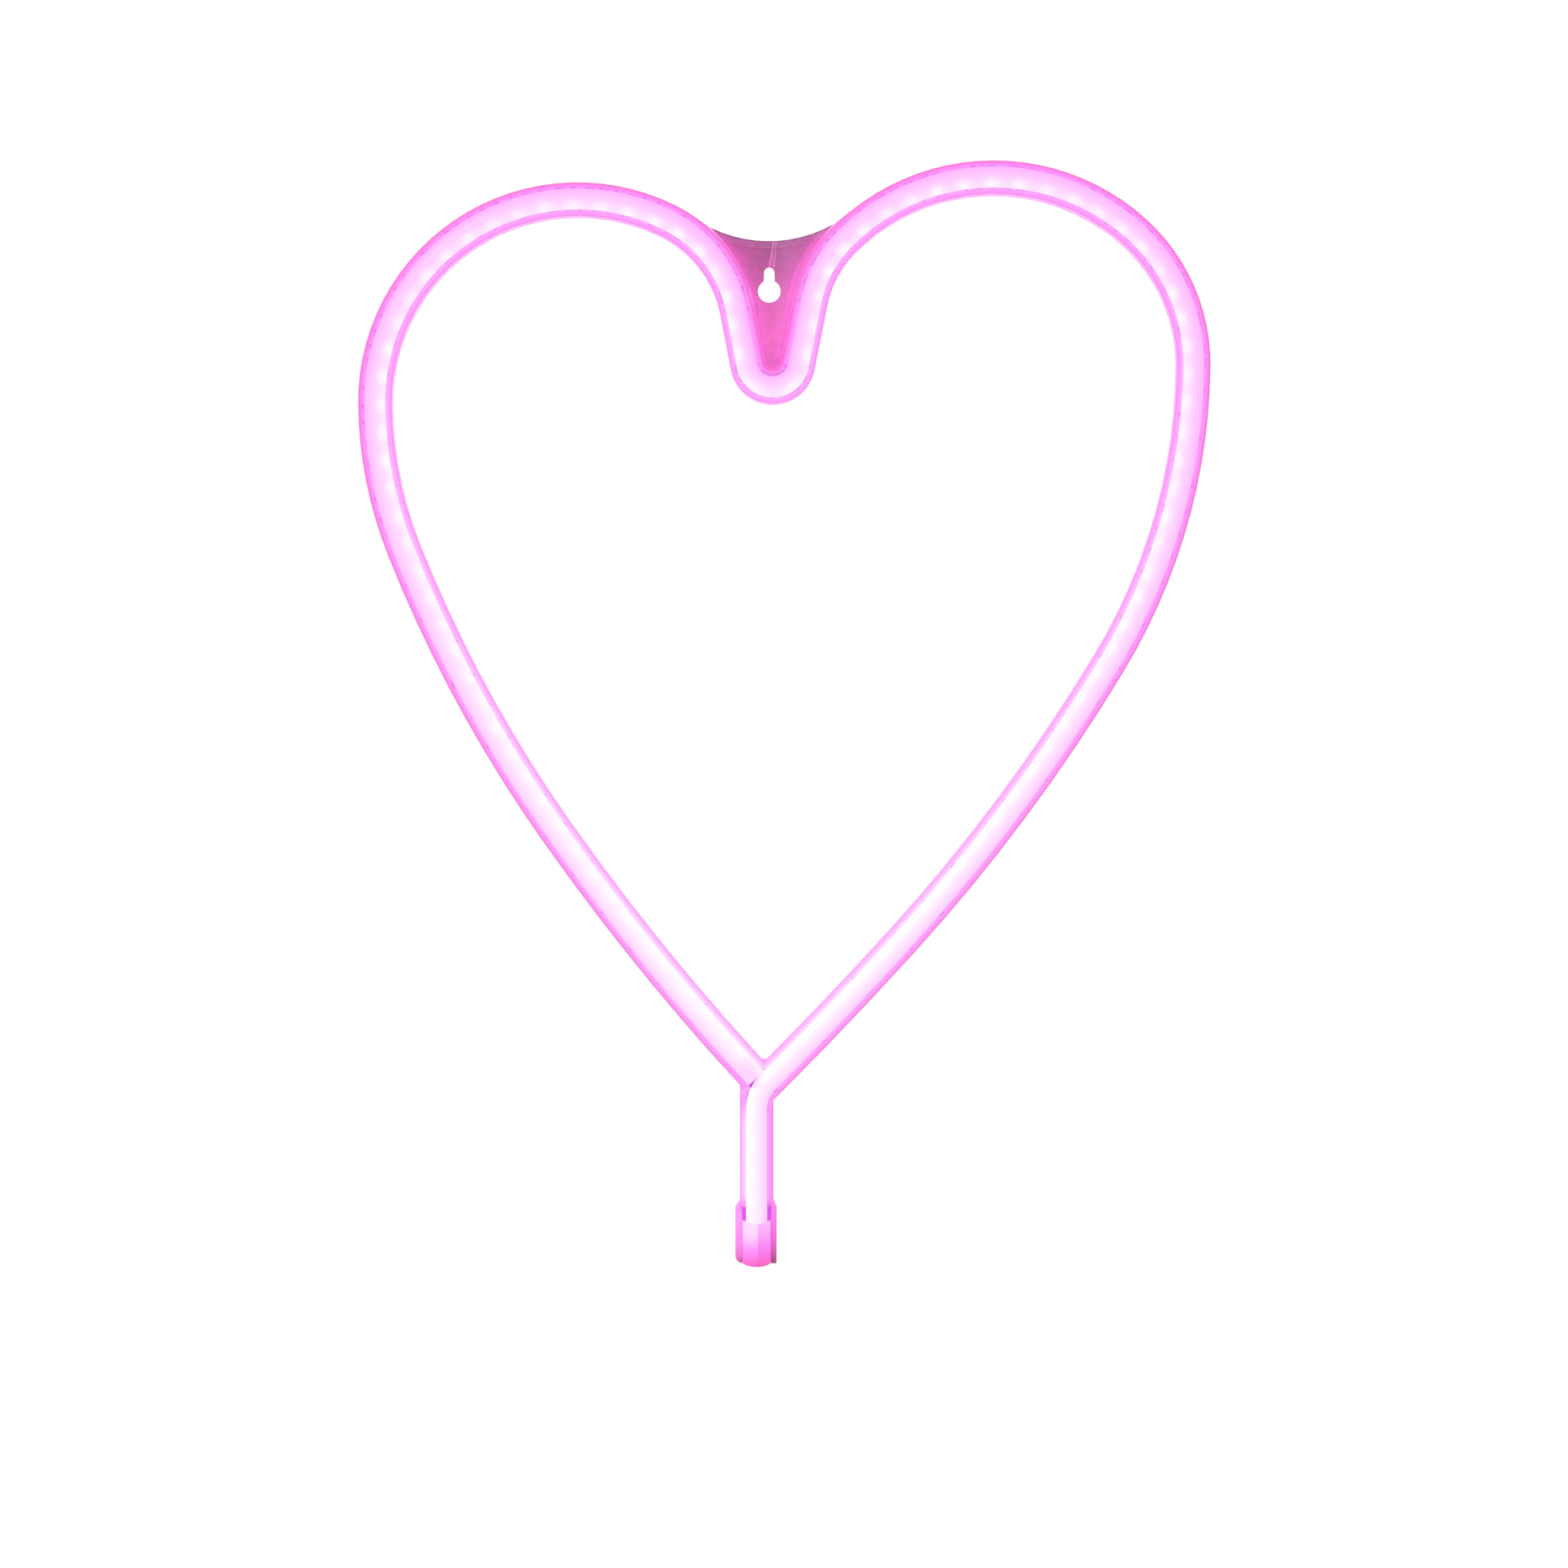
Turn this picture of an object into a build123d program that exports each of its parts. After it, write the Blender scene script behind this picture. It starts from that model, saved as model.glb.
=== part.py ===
from build123d import *
import math
import os

os.makedirs("parts", exist_ok=True)

# Pink LED neon heart for a wall. Millimetres and degrees.
# The lamp stands upright: +Z is up, its flat back lies on the plane Y = 0 and its light faces -Y.
# The origin is the centre of the keyhole's round hole, on the back plane.
# Shapes are drawn lying down, with x across, y up the heart and z out of the wall, and stood up at the end.

# Driving dimensions: the heart
heart_width = 242.0
notch_radius = 7.4            # bend of the tube's centreline at the bottom of the notch
notch_turn_left = 79.1        # from level at the bottom of the notch to the left leg
notch_turn_right = 78.8
stem_bend_radius = 11.5       # where the right arm turns down into the stem
stem_length = 48.3            # from the arm's meeting point with the stem's axis to the tray's lower end
keyhole_rise = 27.6           # from the centreline at the bottom of the notch up to the origin
keyhole_shift = -1.0          # the keyhole sits a little left of the notch's middle

# The diffuser tube, a 6 x 12 silicone extrusion on edge
tube_width = 6.0
tube_depth = 12.0
tube_crown = 1.7              # height of the rounded front above its straight sides
tube_back = 1.6               # silicone behind the hollow
hollow_inner = 2.05           # from the tube's middle to the hollow's side nearest the heart's inside
hollow_outer = 1.35           # and to its other side, which the LED board backs on
butt_gap = 0.15               # between the left arm's cut end and the right arm's side

# The moulded tray that carries the tube
tray_wall = 1.7
tube_clearance = 0.05         # each side of the tube in its channel
floor_thickness = 2.0         # also the thickness of the web between the lobes
bead_thickness = 0.4          # adhesive between floor and tube
tube_proud = 2.0              # how far the tube's crown stands out of the tray
rim_round = 0.45              # edge round on the tray's outer front edges
fork_round = 1.5              # corner of the heart's inside where the two arms meet
wall_draft = 5.0              # of the walls that rise from the web
web_edge_radius = 37.5        # concave top edge of the web
web_lip_width = 1.8
web_lip_height = 0.8

# Keyhole for a small round-head screw
keyhole_radius = 3.25
keyhole_slot_width = 3.0
keyhole_slot_top = 6.8        # from the round hole's centre to the top of the slot
slot_taper = 0.25             # each side of the slot is this much wider where it meets the round hole

# Lower end of the stem, widened for the power inlet's cap
end_length = 16.0
flare_length = 2.0
end_wall_left = 1.9
end_wall_right = 1.5
end_corner_left = 2.2
end_corner_right = 0.4
cap_wall = 1.0
tag_room = 0.75               # between the inlet's rear and the tube's end, for the tags and leads
cap_clearance = 0.1           # between cap and tray
cap_fit = 0.05                # between cap and tube
cap_overlap = 3.2             # how far the tube goes into the cap
cap_mouth_sag = 0.7           # the mouth's edge hangs this much lower in the middle
cap_drop = 0.9                # its lower edge is an arc that hangs this far below the tray in the middle

# Flexible LED board, on edge inside the tube
led_pitch = 1000 / 120        # 120 LEDs a metre
board_height = 5.6
board_thickness = 0.2
board_clearance = 0.2         # above and below the board in the hollow
board_gap = 0.05              # behind the board
board_end_inset = 4.0         # the board stops this far short of the left arm's cut end
led_length = 2.8
led_height = 3.5
led_thickness = 0.7
led_frame = 0.3               # rim of the LED's package around its window
window_depth = 0.4
mount_gap = 0.03              # solder under each part on the board
resistor_length = 1.6
resistor_height = 0.8
resistor_thickness = 0.45
conductor_spacing = 3.0       # between the board's two supply lines
solder_length = 2.2
solder_height = 1.1
solder_thickness = 0.25

# Coaxial inlet, leads, plug and adhesive
inlet_radius = 2.9
inlet_length = 9.0
inlet_bore_radius = 1.8
inlet_bore_depth = 8.0
inlet_fit = 0.05
pin_radius = 0.65
pin_setback = 0.8             # pin and contact start this far inside the inlet's mouth
contact_thickness = 0.2
contact_width = 1.4
tag_thickness = 0.3
tag_width = 1.2
lead_radius = 0.45
joint_radius = 0.75
joint_height = 0.4
plug_fit = 0.05
bead_length = 9.0
bead_width = 4.0
bead_spacing = 55.0

# Sizes that follow
percent = heart_width / 100
tube_half = tube_width / 2
channel_half = tube_half + tube_clearance
tray_half = channel_half + tray_wall
tray_width = 2 * tray_half
tube_base = floor_thickness + bead_thickness
tube_front = tube_base + tube_depth
tray_depth = tube_front - tube_proud
hollow_depth = board_height + 2 * board_clearance
hollow_base = tube_base + tube_back
hollow_top = hollow_base + hollow_depth
middle = (hollow_base + hollow_top) / 2
cap_half = tube_half + cap_fit + cap_wall
cap_back = tube_base - cap_fit - cap_wall
cap_front = tube_front + cap_fit + cap_wall
end_floor = cap_back - cap_clearance
board_back = hollow_outer - board_gap
board_face = board_back - board_thickness

# Centreline of each half from the notch outward: a leg is (length,) and a bend is (radius, turn),
# with lengths and radii in percent of the heart's width.
left_run = (
    (6.6,),
    (15.0, 52.6),
    (23.8, 117.2),
    (47.7, 21.0),
    (160.0, 13.5),
    (280.0, 7.9),
)
right_run = (
    (7.7,),
    (14.2, 33.1),
    (24.7, 87.9),
    (21.0, 48.4),
    (68.8, 30.5),
    (210.0, 11.1),
    (460.0, 2.85),
)


def polar(angle, length=1.0):
    """Vector of that length at an angle in degrees from +x."""
    return Vector(math.cos(math.radians(angle)), math.sin(math.radians(angle))) * length


class Piece:
    """One leg or bend of the centreline. turn is positive to the left; a leg has no radius."""

    def __init__(self, start, heading, size, turn=None):
        self.start, self.heading, self.turn = start, heading, turn
        if turn is None:
            self.radius, self.length = None, size
            self.end = start + polar(heading, size)
            self.end_heading = heading
        else:
            self.radius, self.length = size, size * math.radians(abs(turn))
            self.hand = 1 if turn > 0 else -1
            self.centre = start + polar(heading + 90 * self.hand, size)
            self.end_heading = heading + turn
            self.end = self.centre + polar(self.end_heading - 90 * self.hand, size)

    def at(self, share, offset):
        """Point at a share of the piece's length, offset to the left of the way it runs."""
        if self.turn is None:
            return self.start + polar(self.heading, self.length * share) + polar(self.heading + 90, offset)
        angle = self.heading + self.turn * share
        return self.centre + polar(angle - 90 * self.hand, self.radius - offset * self.hand)

    def length_at(self, offset):
        """Length of the piece when it is drawn at an offset."""
        if self.turn is None:
            return self.length
        return (self.radius - offset * self.hand) * math.radians(abs(self.turn))

    def edge(self, offset):
        if self.turn is None:
            return Line(self.at(0, offset), self.at(1, offset))
        return ThreePointArc(self.at(0, offset), self.at(0.5, offset), self.at(1, offset))


def add_piece(pieces, size, turn=None):
    """Carry the run on, tangent to its last piece."""
    last = pieces[-1]
    pieces.append(Piece(last.end, last.end_heading, size, turn))


def half_heart(side, notch_turn, run):
    """Pieces of one half, from the bottom of the notch: side is 1 for the right and -1 for the left."""
    heading = 0 if side > 0 else 180
    pieces = [Piece(notch_bottom, heading, notch_radius, side * notch_turn)]
    for step in run:
        if len(step) == 1:
            add_piece(pieces, step[0] * percent)
        else:
            add_piece(pieces, step[0] * percent, -side * step[1])
    return pieces


notch_bottom = Vector(-keyhole_shift, -keyhole_rise)
left = half_heart(-1, notch_turn_left, left_run)
right = half_heart(1, notch_turn_right, right_run)

# The right arm bends into a stem that hangs straight down.
arm_end = right[-1]
arm_heading = arm_end.end_heading % 360
stem_turn = 270 - arm_heading
bend_run = stem_bend_radius * math.tan(math.radians(stem_turn / 2))
meeting = arm_end.end + polar(arm_heading, bend_run)
stem_x = meeting.X
tray_end = meeting.Y - stem_length
cap_end = tray_end - cap_drop
cap_length = inlet_length + tag_room + cap_overlap
cap_top = cap_end + cap_length
tube_end = cap_top - cap_overlap
inlet_rear = cap_end + inlet_length
add_piece(right, stem_bend_radius, stem_turn)
add_piece(right, right[-1].end.Y - tube_end)


def band(pieces, side, low, high):
    """Flat strip along pieces of one half, between two offsets towards the outside of the heart."""
    a, b = side * low, side * high
    edges = [piece.edge(offset) for piece in pieces for offset in (a, b)]
    first, last = pieces[0], pieces[-1]
    edges.append(Line(first.at(0, a), first.at(0, b)))
    edges.append(Line(last.at(1, a), last.at(1, b)))
    return make_face(edges)


def slab(face, low, high):
    """Solid of a flat face between two heights above the back plane."""
    return extrude(Pos(0, 0, low) * face, high - low)


def both_halves(low, high):
    """Flat strip along the whole run, between two offsets towards the outside of the heart."""
    return band(left, -1, low, high) + band(right, 1, low, high)


def tangent_centre(c1, r1, c2, r2, radius):
    """Centre of the circle of that radius which touches two circles from outside, above them."""
    d1, d2, apart = r1 + radius, r2 + radius, (c2 - c1).length
    along = (d1 ** 2 - d2 ** 2 + apart ** 2) / (2 * apart)
    up = math.sqrt(d1 ** 2 - along ** 2)
    unit = (c2 - c1).normalized()
    return c1 + unit * along + Vector(-unit.Y, unit.X) * up


# Web between the lobes: its top edge touches the left shoulder's and the right lobe's outer edges.
left_shoulder, right_lobe = left[2], right[3]
edge_centre = tangent_centre(
    left_shoulder.centre, left_shoulder.radius + tray_half,
    right_lobe.centre, right_lobe.radius + tray_half, web_edge_radius)
touch_left = edge_centre + (left_shoulder.centre - edge_centre).normalized() * web_edge_radius
touch_right = edge_centre + (right_lobe.centre - edge_centre).normalized() * web_edge_radius
edge_bottom = edge_centre - Vector(0, web_edge_radius)


def web_face():
    edges = [piece.edge(0) for piece in left[:3] + right[:3]]
    edges.append(Line(left_shoulder.end, touch_left))
    edges.append(ThreePointArc(touch_left, edge_bottom, touch_right))
    edges.append(Line(touch_right, right_lobe.start))
    return make_face(edges)


def keyhole_face():
    half = keyhole_slot_width / 2
    foot = Vector(half + slot_taper, 0)
    shoulder = Vector(half, keyhole_slot_top - half)
    slot = make_face([
        Line(foot, shoulder),
        ThreePointArc(shoulder, (0, keyhole_slot_top), (-shoulder.X, shoulder.Y)),
        Line((-shoulder.X, shoulder.Y), (-foot.X, 0)),
        Line((-foot.X, 0), foot),
    ])
    return Circle(keyhole_radius) + slot


def stem_face():
    """Outline of the tray's stem, with its flare and widened lower end."""
    wide_left = stem_x - cap_half - cap_clearance - end_wall_left
    wide_right = stem_x + cap_half + cap_clearance + end_wall_right
    top = meeting.Y + tray_half
    shoulder = tray_end + end_length
    flare = shoulder + flare_length
    face = make_face(Polyline(
        (stem_x - tray_half, top),
        (stem_x - tray_half, flare),
        (wide_left, shoulder),
        (wide_left, tray_end),
        (wide_right, tray_end),
        (wide_right, shoulder),
        (stem_x + tray_half, flare),
        (stem_x + tray_half, top),
        close=True,
    ))
    face = fillet(face.vertices().group_by(Axis.Y)[0].sort_by(Axis.X)[0], end_corner_left)
    return fillet(face.vertices().group_by(Axis.Y)[0].sort_by(Axis.X)[-1], end_corner_right)


def pocket_face():
    """Room for the cap in the widened end, open at the bottom."""
    top = tray_end + end_length
    return Pos(stem_x, (top + cap_end) / 2) * Rectangle(2 * (cap_half + cap_clearance), top - cap_end)


def outline_face():
    """Everything of the tray that stands to full depth."""
    heart = band(left, -1, -tray_half, tray_half) + band(right[:-2], 1, -tray_half, tray_half)
    fork = heart.faces()[0].inner_wires()[0].vertices().sort_by(Axis.Y)[0]
    heart = fillet(fork, fork_round)
    run_out = Piece(arm_end.end, arm_heading, bend_run)
    return heart + band([run_out], 1, -tray_half, tray_half) + stem_face()


def recess_face(offset, height):
    """Outline of the space above the left shoulder, the notch and the right lobe, at an offset from them."""
    edges = [piece.edge(-offset) for piece in left[:3]] + [piece.edge(offset) for piece in right[:4]]
    corner_left = left[2].at(1, -offset)
    corner_right = right[3].at(1, offset)
    top = right_lobe.centre.Y + right_lobe.radius + 2 * tray_width
    edges.append(Polyline(corner_left, (corner_left.X, top), (corner_right.X, top), corner_right))
    return Pos(0, 0, height) * make_face(edges)


def recess():
    """Space in front of the web: the lobes' walls draw in towards it, by their draft."""
    foot = (tray_depth - floor_thickness) * math.tan(math.radians(wall_draft))
    return loft([recess_face(tray_half + foot, floor_thickness), recess_face(tray_half, tray_depth)], ruled=True)


def back_tray():
    walls = slab(outline_face(), 0, tray_depth)
    rims = walls.edges().filter_by_position(Axis.Z, tray_depth, tray_depth)
    body = fillet(rims, rim_round)
    web = slab(web_face(), 0, floor_thickness)
    lip_disc = Pos(edge_centre.X, edge_centre.Y) * Circle(web_edge_radius + web_lip_width)
    lip = slab(web_face() & lip_disc, floor_thickness, floor_thickness + web_lip_height)
    ramps = slab(web_face(), floor_thickness, tray_depth - rim_round) - recess()
    body = body + web + lip + ramps
    body -= slab(both_halves(-channel_half, channel_half), floor_thickness, tray_depth)
    body -= slab(pocket_face(), end_floor, tray_depth)
    return body - slab(keyhole_face(), 0, floor_thickness)


def crowned(half, low, high, crown):
    """Section with straight sides and a rounded front, with its back at a height above the wall."""
    shoulder = high - crown
    return make_face([
        Line((-half, low), (half, low)),
        Line((half, low), (half, shoulder)),
        ThreePointArc((half, shoulder), (0, high), (-half, shoulder)),
        Line((-half, shoulder), (-half, low)),
    ])


def swept_half(pieces, side):
    """Solid tube along one half."""
    path = Wire([piece.edge(0).edge() for piece in pieces])
    plane = Plane(notch_bottom, x_dir=(0, side, 0), z_dir=(side, 0, 0))
    return sweep(plane * crowned(tube_half, tube_base, tube_front, tube_crown), path=path)


def beside_arm(inset):
    """Space that the left arm's parts keep out of, where the right arm crosses in front of them."""
    return slab(band(right, 1, -tube_half - butt_gap - inset, tube_half), 0, 2 * tray_depth)


def diffuser_tube():
    tube = swept_half(left, -1) - beside_arm(0) + swept_half(right, 1)
    return tube - slab(both_halves(-hollow_inner, hollow_outer), hollow_base, hollow_top)


def tube_end_plug():
    """Silicone stopper in the left arm's cut end."""
    core = slab(
        band(left[-1:], -1, plug_fit - hollow_inner, hollow_outer - plug_fit),
        hollow_base + plug_fit, hollow_top - plug_fit)
    return (core & beside_arm(board_end_inset - mount_gap)) - beside_arm(0)


def board(pieces, side):
    return slab(band(pieces, side, board_face, board_back), middle - board_height / 2, middle + board_height / 2)


def feed_board():
    """Board from the inlet to the splice between the left leg and the left shoulder."""
    return board(left[:2], -1) + board(right, 1)


def far_board():
    """Board from the splice to the left arm's end."""
    return board(left[2:], -1) - beside_arm(board_end_inset)


def station(pieces, side, distance, outward):
    """Place at a distance along the board from the notch: x along it, y across, z above the wall."""
    for piece in pieces:
        length = piece.length_at(side * board_face)
        if distance <= length:
            break
        distance -= length
    share = distance / length
    point = piece.at(share, side * outward)
    heading = piece.heading + (piece.turn or 0) * share
    return Pos(point.X, point.Y, middle) * Rot(0, 0, heading)


def run_length(pieces, side):
    return sum(piece.length_at(side * board_face) for piece in pieces)


def arm_distance(point):
    """How far a point lies from the right arm's line, on the side of the left arm."""
    return (point - arm_end.end).dot(polar(arm_heading - 90))


def stations(first, step, outward):
    """Places at even steps along both halves of the board, out to where it ends."""
    places = []
    for pieces, side in ((left, -1), (right, 1)):
        distance = first
        while distance < run_length(pieces, side) - solder_length - led_length:
            place = station(pieces, side, distance, outward)
            point = Vector(place.position.X, place.position.Y)
            room = tube_half + butt_gap + board_end_inset + led_length
            if side > 0 or distance < run_length(left[:-1], -1) or arm_distance(point) > room:
                places.append((place, side))
            distance += step
    return places


def boxes(first, step, size, outward):
    """Equal blocks along the board."""
    return Compound([place * Box(*size) for place, side in stations(first, step, outward)])


def led_packages():
    outward = board_face - mount_gap - led_thickness / 2
    package = Box(led_length, led_thickness, led_height)
    window = Box(led_length - 2 * led_frame, window_depth, led_height - 2 * led_frame)
    solids = []
    for place, side in stations(led_pitch / 2, led_pitch, outward):
        front = Pos(0, -side * (led_thickness - window_depth) / 2, 0)
        solids.append(place * (package - front * window))
    return Compound(solids)


def led_windows():
    outward = board_face - mount_gap - led_thickness + window_depth / 2
    size = (led_length - 2 * led_frame, window_depth, led_height - 2 * led_frame)
    return boxes(led_pitch / 2, led_pitch, size, outward)


def chip_resistors():
    outward = board_face - mount_gap - resistor_thickness / 2
    return boxes(led_pitch, led_pitch, (resistor_length, resistor_thickness, resistor_height), outward)


def splice_solder():
    """Two joints that bridge the boards' supply lines."""
    place = station(left, -1, run_length(left[:2], -1), board_face - solder_thickness / 2 - mount_gap)
    joint = Box(solder_length, solder_thickness, solder_height)
    return Compound([place * Pos(0, 0, z) * joint for z in (-conductor_spacing / 2, conductor_spacing / 2)])


# Supply line heights above the wall: the positive one is nearer the front.
supply_lines = (middle + conductor_spacing / 2, middle - conductor_spacing / 2)
lead_x = stem_x + board_face - solder_thickness - lead_radius
tag_top = inlet_rear + tag_thickness


def rod(x, z, radius, low, high):
    """Round bar along y."""
    return Pos(x, low, z) * Rot(-90, 0, 0) * Cylinder(radius, high - low, align=(Align.CENTER, Align.CENTER, Align.MIN))


def lead(z):
    return rod(lead_x, z, lead_radius, tag_top, tube_end + solder_length)


def lead_solder():
    """Joints at both ends of the two leads."""
    solids = []
    for z in supply_lines:
        pad = Box(solder_thickness, solder_length, solder_height)
        solids.append(Pos(lead_x + lead_radius + solder_thickness / 2, tube_end + solder_length / 2, z) * pad)
        ring = rod(lead_x, z, joint_radius, tag_top, tag_top + joint_height)
        solids.append(ring - rod(lead_x, z, lead_radius, tag_top, tag_top + joint_height))
    return Compound(solids)


def tag(z):
    """Flat strip on the inlet's rear, from its middle out to a lead."""
    reach = abs(z - middle) + tag_width / 2
    low = min(z - tag_width / 2, middle)
    x = (stem_x + lead_x) / 2
    width = tag_width + abs(lead_x - stem_x)
    return Pos(x, inlet_rear + tag_thickness / 2, low + reach / 2) * Box(width, tag_thickness, reach)


def inlet_pin():
    """Centre pin with its solder tag."""
    return rod(stem_x, middle, pin_radius, cap_end + pin_setback, inlet_rear) + tag(supply_lines[0])


def contact_leaf(gap):
    """Leaf beside the bore, or with a gap the slot that it lies in."""
    z = middle - inlet_bore_radius - contact_thickness / 2
    length = inlet_length - pin_setback
    leaf = Box(contact_width + 2 * gap, length, contact_thickness + 2 * gap)
    return Pos(stem_x, inlet_rear - length / 2, z) * leaf


def inlet_contact():
    low = supply_lines[1] - tag_width / 2
    high = supply_lines[1] + tag_width / 2
    foot = min(low, middle - inlet_bore_radius - contact_thickness)
    strip = Box(tag_width + lead_x - stem_x, tag_thickness, high - foot)
    x = (stem_x + lead_x) / 2
    return contact_leaf(0) + Pos(x, inlet_rear + tag_thickness / 2, (foot + high) / 2) * strip


def inlet_body():
    body = rod(stem_x, middle, inlet_radius, cap_end, inlet_rear)
    body -= rod(stem_x, middle, inlet_bore_radius, cap_end, cap_end + inlet_bore_depth)
    body -= rod(stem_x, middle, pin_radius + inlet_fit, cap_end, inlet_rear)
    return body - contact_leaf(inlet_fit)


def power_cap():
    """Cap over the tube's lower end that holds the inlet."""
    section = crowned(cap_half, cap_back, cap_front, tube_crown + cap_wall)
    upright = Plane((stem_x, cap_end, 0), x_dir=(1, 0, 0), z_dir=(0, -1, 0))
    block = extrude(upright * section, -cap_length)
    outline = make_face([
        Line((-cap_half, cap_length), (-cap_half, cap_drop)),
        ThreePointArc((-cap_half, cap_drop), (0, 0), (cap_half, cap_drop)),
        Line((cap_half, cap_drop), (cap_half, cap_length)),
        ThreePointArc((cap_half, cap_length), (0, cap_length - cap_mouth_sag), (-cap_half, cap_length)),
    ])
    block = block & slab(Pos(stem_x, cap_end) * outline, 0, 2 * tray_depth)
    socket = crowned(tube_half + cap_fit, tube_base - cap_fit, tube_front + cap_fit, tube_crown)
    block -= extrude(Plane((stem_x, inlet_rear, 0), x_dir=(1, 0, 0), z_dir=(0, -1, 0)) * socket, -cap_length)
    return block - rod(stem_x, middle, inlet_radius + inlet_fit, cap_end, inlet_rear)


def adhesive_beads():
    """Beads between the channel's floor and the tube, evenly spaced from the notch."""
    solids = []
    bead = Box(bead_length, bead_width, bead_thickness)
    for place, side in stations(bead_spacing / 2, bead_spacing, 0):
        solids.append(Pos(0, 0, floor_thickness + bead_thickness / 2 - middle) * place * bead)
    return Compound(solids)


def save(name, shape):
    """Stand the piece up and write it."""
    export_step(Rot(90, 0, 0) * shape, f"parts/{name}.step")


save("back_tray", back_tray())
save("diffuser_tube", diffuser_tube())
save("tube_end_plug", tube_end_plug())
save("feed_board", feed_board())
save("far_board", far_board())
save("led_packages", led_packages())
save("led_windows", led_windows())
save("chip_resistors", chip_resistors())
save("splice_solder", splice_solder())
save("lead_solder", lead_solder())
save("positive_lead", lead(supply_lines[0]))
save("negative_lead", lead(supply_lines[1]))
save("inlet_pin", inlet_pin())
save("inlet_contact", inlet_contact())
save("inlet_body", inlet_body())
save("power_cap", power_cap())
save("adhesive_beads", adhesive_beads())
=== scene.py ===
import math
import bmesh
import bpy
import numpy as np
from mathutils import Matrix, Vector


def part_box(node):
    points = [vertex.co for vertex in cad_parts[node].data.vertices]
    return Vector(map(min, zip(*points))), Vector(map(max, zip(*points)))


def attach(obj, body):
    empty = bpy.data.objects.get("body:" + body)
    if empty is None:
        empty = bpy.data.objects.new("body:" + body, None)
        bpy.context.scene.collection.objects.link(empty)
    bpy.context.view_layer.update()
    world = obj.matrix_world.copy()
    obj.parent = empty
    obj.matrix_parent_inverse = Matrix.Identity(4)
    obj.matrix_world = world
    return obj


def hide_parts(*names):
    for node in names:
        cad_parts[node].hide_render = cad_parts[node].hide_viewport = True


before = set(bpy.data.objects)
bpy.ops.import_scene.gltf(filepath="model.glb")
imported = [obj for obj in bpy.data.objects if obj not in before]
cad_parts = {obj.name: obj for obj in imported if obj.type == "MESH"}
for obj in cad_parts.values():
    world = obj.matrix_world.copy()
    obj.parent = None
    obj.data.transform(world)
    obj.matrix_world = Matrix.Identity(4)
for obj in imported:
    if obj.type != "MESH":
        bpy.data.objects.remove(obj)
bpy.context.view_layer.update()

# A lit neon-style heart for a wall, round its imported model.
# Metres; MM turns the part's millimetres into metres, and the materials measure in millimetres.
# +Z is up, the back lies on the plane Y = 0 and the light faces -Y. A depth is a distance along -Y.
MM = 0.001

# The tube's centreline, as the part gives it, for the heart's left half (-1) and its right (1).
# A run is a leg's (length,) or a bend's (radius, degrees), sizes in hundredths of the heart's width.
HEART_WIDTH = 242 * MM
PERCENT = HEART_WIDTH / 100
NOTCH_BOTTOM = np.array((1.0, -27.6)) * MM
NOTCH_RADIUS = 7.4 * MM
NOTCH_TURN = {-1: 79.1, 1: 78.8}
RUNS = {
    -1: ((6.6,), (15.0, 52.6), (23.8, 117.2), (47.7, 21.0), (160.0, 13.5), (280.0, 7.9)),
    1: ((7.7,), (14.2, 33.1), (24.7, 87.9), (21.0, 48.4), (68.8, 30.5), (210.0, 11.1), (460.0, 2.85)),
}
STEM_BEND_RADIUS = 11.5 * MM
LED_PITCH = 1.0 / 120
BOARD_FACE = 1.1 * MM          # the LEDs' board, outward of the centreline
BUTT_GAP = 0.15 * MM           # between the left arm's cut end and the right arm's side
FAR = 1.0                      # stands for no cut end near

# Sections
TUBE_HALF = 3.0 * MM
TRAY_HALF = 4.75 * MM
TUBE_CROWN = 1.7 * MM
TUBE_STEP = 0.9 * MM           # longest step of the tube's skin along its path
HOLLOW = (-2.05 * MM, 1.35 * MM, 4.0 * MM, 10.0 * MM)   # inner side, outer side, lowest and highest depth
HOLLOW_MIDDLE = (HOLLOW[2] + HOLLOW[3]) / 2 / MM        # in mm

# The web's concave top edge and its lip, and how far the drafted walls' foot may stand out
EDGE_RADIUS = 37.5 * MM
LIP_WIDTH = 1.8 * MM
FOOT_SPREAD = 1.2 * MM
WEB_OVERLAP = 0.3 * MM         # how far the web's flat faces reach in over the rims' outer edge
WEB_LOW = -40 * MM             # the web lies above this height, and nearer the wall than WEB_FRONT
WEB_FRONT = 6 * MM

# Places that only the materials use, in mm
GLOW_HIGH, GLOW_LOW = 30.0, -210.0      # the light is pinkest at the lobes' tops and whitest at the fork
RIM_DEPTH = (12.0, 11.6)                # a rim's colour gives way to its wall's between these depths
END_TOP = (-257.0, -260.0)              # where the stem's widened end starts
STEM_TOP = (-240.0, -246.0)             # below this the back's glow follows the stem's axis
FORK_TOP = (-210.0, -216.0)             # painted shade in the gap beside the cut end, between this and FORK_FOOT
FORK_FOOT = (-257.0, -255.0)
CORNER_TOP = (-217.0, -222.0)           # the rim's wide corner left of the fork
CORNER_FOOT = (-238.0, -229.0)
CORNER_SIDE = (-5.4, -6.3)
WELD_FOOT = 7.0                         # the weld line rises from the keyhole's slot
WELD_LENGTH = 6.9
WALL_FOOT_SHADE = 2.5                         # painted shade line where the right lobe's wall meets the web, this far from the rim
PIN_PITCHES = 6                         # spacing of the ejector marks on the back, in LED pitches
PIN_RADIUS = 1.9

tube_low, tube_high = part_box("diffuser_tube")
tray_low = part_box("back_tray")[0]
cap_low, cap_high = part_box("power_cap")
TUBE_BASE, TUBE_FRONT = -tube_high.y, -tube_low.y
TRAY_DEPTH = -tray_low.y
STEM_X = (cap_low.x + cap_high.x) / 2


# The path

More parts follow.
